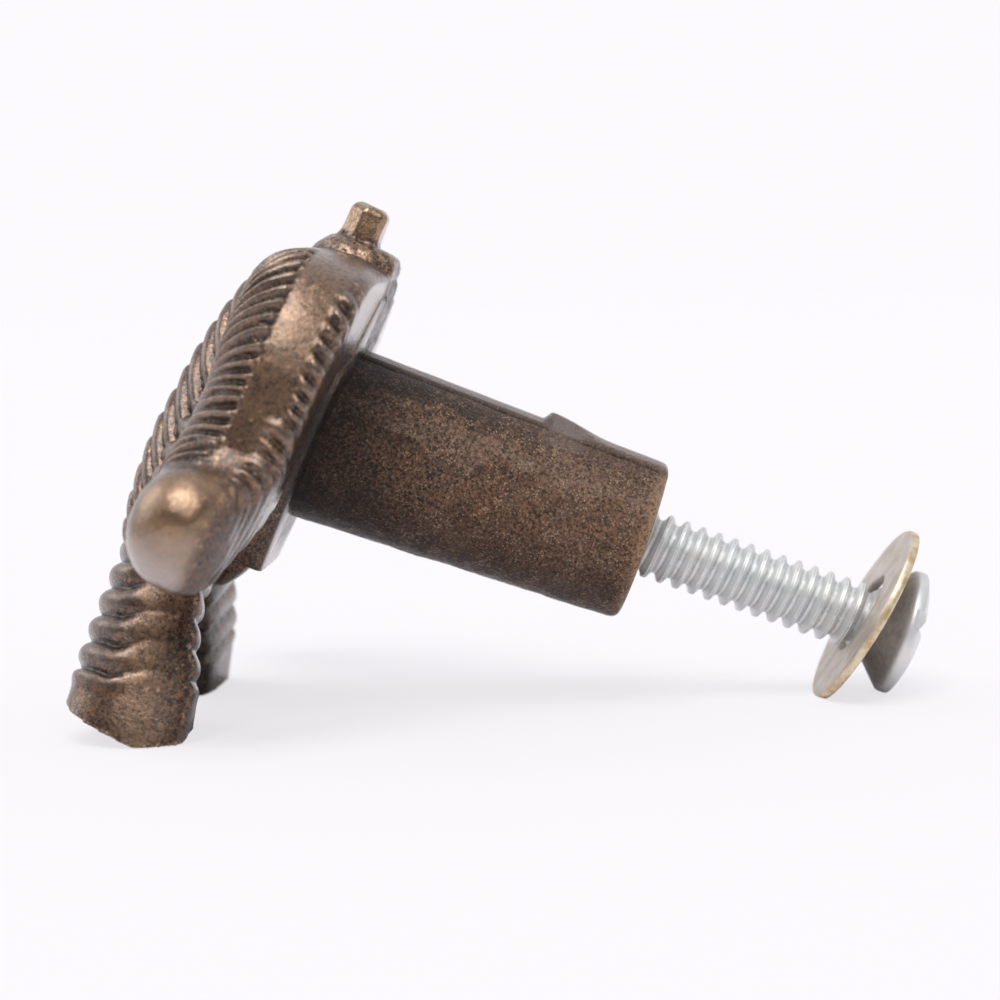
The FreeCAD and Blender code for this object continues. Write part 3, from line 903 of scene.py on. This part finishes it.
def shank_material():
    """The shank's rough cast skin: granular, black at its root, with painted shade underneath,
    painted dark reflection bands and a painted sheen.
    """
    n = Nodes("antique_brass_shank")
    pointed = n.add("ShaderNodeNewGeometry").outputs["Pointiness"]
    grain, base, flecks, grit = brass_base(n, 4.6, 0.45, 0.20)
    place = n.split(n.mm)
    along = n.maths("DIVIDE", place["Y"], -SHANK_LENGTH)
    uneven = n.maths("ADD", along, n.times(n.noise(0.5, 5.0, 0.7), 0.45))
    uneven = n.maths("ADD", uneven, n.times(n.maths("SUBTRACT", 0.5, grain), 0.6))
    root = n.ramp(n.times(uneven, 0.5), (0.42, 0.0), (0.50, 0.40), (0.60, 0.85))
    height = n.maths("DIVIDE", place["Z"], SHANK_TOP_Z)
    level = n.maths("ADD", height, n.noise(0.45, 4.0))
    # painted shade: the lower side of the shank is darkened
    under = n.ramp(n.maths("ADD", level, 0.5), (0.0, 0.85), (0.55, 0.30), (0.85, 0.0))
    # painted dark reflection bands: one along the middle of the side, one below the top, stronger
    # towards the head
    streak = n.ramp(n.times(level, 0.5), (0.30, 0.0), (0.35, 0.45), (0.42, 0.0),
                    (0.57, 0.0), (0.65, 0.75))
    streak = n.times(streak, n.ramp(along, (0.25, 0.25), (0.65, 1.0)))
    # painted sheen: a paler band along the shank's upper side
    painted_sheen = n.ramp(n.times(level, 0.5), (0.38, 0.0), (0.48, 0.5), (0.58, 0.0))
    painted_sheen = n.times(painted_sheen, n.ramp(grain, (0.40, 0.2), (0.60, 1.0)))
    edge = n.times(n.ramp(along, (0.015, 1.0), (0.045, 0.0)),
                   n.ramp(grain, (0.36, 0.2), (0.6, 0.9)))
    high = n.times(n.ramp(pointed, (0.505, 0.0), (0.56, 0.7)),
                   n.ramp(grain, (0.4, 0.1), (0.6, 1.0)))
    greyed = n.times(n.ramp(n.noise(0.45, 4.0, 0.6), (0.46, 0.0), (0.62, 0.75)),
                     n.ramp(n.noise(5.0, 5.0, 0.7), (0.42, 0.0), (0.6, 1.0)))
    base = n.mix(greyed, base, GREY_PATINA)
    base = n.mix(n.ramp(n.noise(0.7, 6.0, 0.72), (0.32, 0.65), (0.47, 0.0)), base, DARK_PATINA)
    base = n.mix(n.ramp(grain, (0.42, 0.0), (0.62, 0.6)), base, COPPERY)
    worn = n.most(edge, high)
    colour = n.mix(worn, base, GOLDEN_BRASS)
    colour = n.mix(painted_sheen, colour, SHEEN_BROWN)
    colour = n.mix(n.most(under, streak), colour, DARK_PATINA)
    colour = n.mix(n.times(flecks, 0.85), colour, BRIGHT_FLECK)
    colour = n.mix(root, colour, DARK_PATINA)
    filed = n.mark("filed")
    colour = n.mix(n.times(filed, 0.7), colour, FILED_BROWN)
    colour = n.mix(n.ramp(pointed, (0.42, 0.9), (0.49, 0.0)), colour, GROOVE_BLACK)
    finish_brass(n, colour, 0.34, 0.52, SHANK_COAT, n.times(filed, 0.5))
    pits = n.bump(n.noise(3.4, 6.0, 0.78), 0.22, 1.0, after=n.bump(grit, 0.07, 0.8))
    soft = n.bump(n.noise(1.1, 3.0), 0.30, 0.5, after=pits)
    n.link(soft, n.shader.inputs["Normal"])
    n.link(pits, n.shader.inputs["Coat Normal"])
    return n.material


def zinc_material():
    """Zinc plate: clouds, handling marks, oxide in the corners and painted shade under the head.
    """
    n = Nodes("zinc_plate")
    cloud = n.noise(0.9, 4.0)
    streak = n.noise(2.2, 4.0, 0.6, stretch=(1.0, 4.0, 1.0))
    colour = n.mix(n.ramp(cloud, (0.35, 0.0), (0.7, 1.0)), ZINC_COOL, ZINC_WARM)
    pointed = n.add("ShaderNodeNewGeometry").outputs["Pointiness"]
    low = n.ramp(pointed, (0.44, 1.0), (0.50, 0.0))
    colour = n.mix(n.times(low, 0.75), colour, ZINC_OXIDE)
    place = n.split(n.mm)
    # painted shade under the screw head, mottled by noise
    under = n.ramp(n.maths("DIVIDE", place["Y"], RAMP_LENGTH), (0.70, 0.0), (0.75, 0.8),
                   (0.825, 0.8), (0.845, 0.0))
    shade_mottle = n.ramp(n.noise(3.0, 4.0, 0.6), (0.3, 0.7), (0.7, 1.0))
    colour = n.mix(n.times(under, shade_mottle), colour, ZINC_SHADE)
    n.link(colour, n.shader.inputs["Base Color"])
    n.shader.inputs["Metallic"].default_value = 0.7
    n.link(n.ramp(streak, (0.3, 0.34), (0.7, 0.52)), n.shader.inputs["Roughness"])
    fine = n.bump(n.noise(7.0, 4.0, 0.6), 0.03, 0.5)
    n.link(n.bump(n.noise(2.6, 2.0), 0.05, 0.25, after=fine), n.shader.inputs["Normal"])
    return n.material


def washer_material():
    """Dull grey faces and a yellow, brighter rim."""
    n = Nodes("worn_yellow_zinc")
    split = n.add("ShaderNodeVectorMath", operation="SUBTRACT")
    split.inputs[1].default_value = tuple(WASHER_CENTRE)
    n.link(n.mm, split.inputs[0])
    reach = n.add("ShaderNodeVectorMath", operation="LENGTH")
    n.link(split.outputs[0], reach.inputs[0])
    rim = n.ramp(n.maths("SUBTRACT", reach.outputs["Value"], WASHER_R - 1.0), (0.86, 0.0),
                 (0.97, 1.0))
    face = n.mix(n.ramp(n.noise(0.8, 4.0), (0.35, 0.0), (0.65, 1.0)), WASHER_DULL, WASHER_PALE)
    gold = n.mix(n.ramp(n.noise(1.2, 3.0), (0.4, 0.0), (0.6, 1.0)), WASHER_GOLD, WASHER_BRIGHT)
    n.link(n.mix(rim, face, gold), n.shader.inputs["Base Color"])
    n.shader.inputs["Metallic"].default_value = 0.8
    n.link(n.ramp(n.noise(1.5, 4.0), (0.3, 0.36), (0.7, 0.55)), n.shader.inputs["Roughness"])
    n.link(n.bump(n.noise(6.0, 5.0, 0.7), 0.03, 0.5), n.shader.inputs["Normal"])
    return n.material


# ---------------------------------------------------------------- build the object
def dress(obj, material, body, node):
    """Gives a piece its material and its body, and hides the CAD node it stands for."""
    obj.data.materials.clear()
    obj.data.materials.append(material)
    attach(obj, body)
    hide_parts(node)


head = make_head()
shank = make_shank()
screw = make_screw()
washer = make_washer()
dress(head, head_material(), "knob", "head_casting")
dress(shank, shank_material(), "knob", "shank")
dress(screw, zinc_material(), "screw", "fixing_screw")
dress(washer, washer_material(), "washer", "washer")


# ---------------------------------------------------------------- floor, light and camera
STUDIO_WHITE = (0.975, 0.955, 0.985, 1)
FLOOR_COLOUR = (0.84, 0.82, 0.85, 1)
FLOOR_GLOW = 0.74
FLOOR_HALF_SIZE = 12.0
AWAY_LIGHT = 0.78
CAMERA_SIDE_LIGHT = 0.16
STEEPEST_SLOPE = 1.5
NEAR = np.array([1.0, 0.0, 0.0])


def resting_slope():
    """The slope and offset, in Y and Z, of the floor line under the head and the screw."""
    supports = [read_points(obj.data)[:, 1:] for obj in (head, screw)]
    low, high = 0.0, STEEPEST_SLOPE
    for _ in range(40):
        slope = (low + high) / 2
        heights = [(points[:, 1] - slope * points[:, 0]).min() for points in supports]
        if heights[0] < heights[1]:
            low = slope
        else:
            high = slope
    return slope, min(heights)


def direction(azimuth, elevation, up, level):
    """A unit direction: azimuth is turned about up, from the level direction."""
    side = np.cross(up, level)
    flat = math.cos(azimuth) * level + math.sin(azimuth) * side
    return math.cos(elevation) * flat + math.sin(elevation) * up


def aim(obj, place, target, up):
    """Puts a camera or light at place, looking at target with up upwards."""
    back = Vector(place - target).normalized()
    right = Vector(up).cross(back).normalized()
    true_up = back.cross(right)
    turn = Matrix((right, true_up, back)).transposed().to_4x4()
    obj.matrix_world = Matrix.Translation(Vector(place)) @ turn


def make_floor(slope, offset):
    """A pale floor that can only be seen from above."""
    tilt = math.atan(slope)
    up = np.array([0.0, -math.sin(tilt), math.cos(tilt)])
    level = np.array([0.0, math.cos(tilt), math.sin(tilt)])
    middle = np.array([0.0, 0.0, offset])
    corners = [middle + FLOOR_HALF_SIZE * (a * NEAR + b * level)
               for a, b in ((-1, -1), (1, -1), (1, 1), (-1, 1))]
    mesh = bpy.data.meshes.new("floor")
    mesh.from_pydata([tuple(c) for c in corners], [], [(0, 1, 2, 3)])
    floor = bpy.data.objects.new("floor", mesh)
    bpy.context.scene.collection.objects.link(floor)
    n = Nodes("pale_floor")
    n.shader.inputs["Base Color"].default_value = FLOOR_COLOUR
    n.shader.inputs["Roughness"].default_value = 0.8
    n.shader.inputs["Specular IOR Level"].default_value = 0.0
    glow = n.add("ShaderNodeEmission")
    glow.inputs["Color"].default_value = STUDIO_WHITE
    seen = n.add("ShaderNodeMixShader")
    rays = n.add("ShaderNodeLightPath")
    n.link(n.times(rays.outputs["Is Camera Ray"], FLOOR_GLOW), seen.inputs[0])
    n.link(n.shader.outputs[0], seen.inputs[1])
    n.link(glow.outputs[0], seen.inputs[2])
    clear = n.add("ShaderNodeBsdfTransparent")
    sides = n.add("ShaderNodeMixShader")
    n.link(n.add("ShaderNodeNewGeometry").outputs["Backfacing"], sides.inputs[0])
    n.link(seen.outputs[0], sides.inputs[1])
    n.link(clear.outputs[0], sides.inputs[2])
    n.link(sides.outputs[0], n.out.inputs["Surface"])
    mesh.materials.append(n.material)
    return up, level


def make_world():
    """A bright pale surround, darker on the side the camera stands on."""
    world = bpy.data.worlds.new("studio")
    bpy.context.scene.world = world
    world.use_nodes = True
    tree = world.node_tree
    tree.nodes.clear()
    out = tree.nodes.new("ShaderNodeOutputWorld")
    seen = tree.nodes.new("ShaderNodeBackground")
    seen.inputs["Color"].default_value = STUDIO_WHITE
    seen.inputs["Strength"].default_value = 1.0
    lit = tree.nodes.new("ShaderNodeBackground")
    place = tree.nodes.new("ShaderNodeTexCoord")
    side = tree.nodes.new("ShaderNodeVectorMath")
    side.operation = "DOT_PRODUCT"
    side.inputs[1].default_value = tuple(NEAR)
    tree.links.new(place.outputs["Generated"], side.inputs[0])
    shade = tree.nodes.new("ShaderNodeMapRange")
    shade.inputs["From Min"].default_value = -0.3
    shade.inputs["From Max"].default_value = 0.9
    shade.inputs["To Min"].default_value = AWAY_LIGHT
    shade.inputs["To Max"].default_value = CAMERA_SIDE_LIGHT
    tree.links.new(side.outputs["Value"], shade.inputs["Value"])
    tree.links.new(shade.outputs[0], lit.inputs["Strength"])
    lit.inputs["Color"].default_value = (0.97, 0.96, 1.0, 1)
    rays = tree.nodes.new("ShaderNodeLightPath")
    choose = tree.nodes.new("ShaderNodeMixShader")
    tree.links.new(rays.outputs["Is Camera Ray"], choose.inputs[0])
    tree.links.new(lit.outputs[0], choose.inputs[1])
    tree.links.new(seen.outputs[0], choose.inputs[2])
    tree.links.new(choose.outputs[0], out.inputs["Surface"])


def add_light(name, away, up, width, strength, colour):
    """A broad soft light from the direction away; width is its apparent size in degrees."""
    data = bpy.data.lights.new(name, "SUN")
    data.angle = math.radians(width)
    data.energy = strength
    data.color = colour
    light = bpy.data.objects.new(name, data)
    bpy.context.scene.collection.objects.link(light)
    aim(light, away, np.zeros(3), up)


# The camera stands on the +X side: angles in the knob's own frame, distance in metres.
CAMERA_TURN = math.radians(0.05)
CAMERA_ELEVATION = math.radians(5.21)
CAMERA_ROLL = math.radians(19.3)
CAMERA_DISTANCE = 0.1440
CAMERA_TARGET = np.array([0.0, -9.31, -0.51]) * MM
FOCUS_AT = np.array([5.5, -9.0, 0.0]) * MM
SENSOR_WIDTH = 36.0
LENS_PER_SENSOR = 2.3
APERTURE = 36.0


def make_camera():
    """The camera: a close, slightly raised view from the side with a shallow focus."""
    data = bpy.data.cameras.new("camera")
    data.sensor_width = SENSOR_WIDTH
    data.lens = SENSOR_WIDTH * LENS_PER_SENSOR
    data.clip_start = 0.005
    camera = bpy.data.objects.new("camera", data)
    bpy.context.scene.collection.objects.link(camera)
    top = np.array([0.0, 0.0, 1.0])
    away = direction(CAMERA_TURN, CAMERA_ELEVATION, top, NEAR)
    aim(camera, CAMERA_TARGET + CAMERA_DISTANCE * away, CAMERA_TARGET, top)
    camera.matrix_world = camera.matrix_world @ Matrix.Rotation(CAMERA_ROLL, 4, "Z")
    focus = bpy.data.objects.new("focus", None)
    bpy.context.scene.collection.objects.link(focus)
    focus.location = FOCUS_AT
    data.dof.use_dof = True
    data.dof.focus_object = focus
    data.dof.aperture_fstop = APERTURE
    bpy.context.scene.camera = camera


slope, offset = resting_slope()
up, level = make_floor(slope, offset)
make_world()
add_light("overhead", up - 0.10 * level + 0.42 * NEAR, level, 36, 1.75, (1.0, 0.985, 0.97))
add_light("left_back", 0.9 * up - 1.3 * level - 0.3 * NEAR, up, 35, 0.45, (1.0, 1.0, 1.0))
add_light("near_side", up + 0.2 * level + 1.2 * NEAR, up, 25, 0.25, (1.0, 0.97, 0.93))
make_camera()
bpy.context.scene.view_settings.view_transform = "Standard"
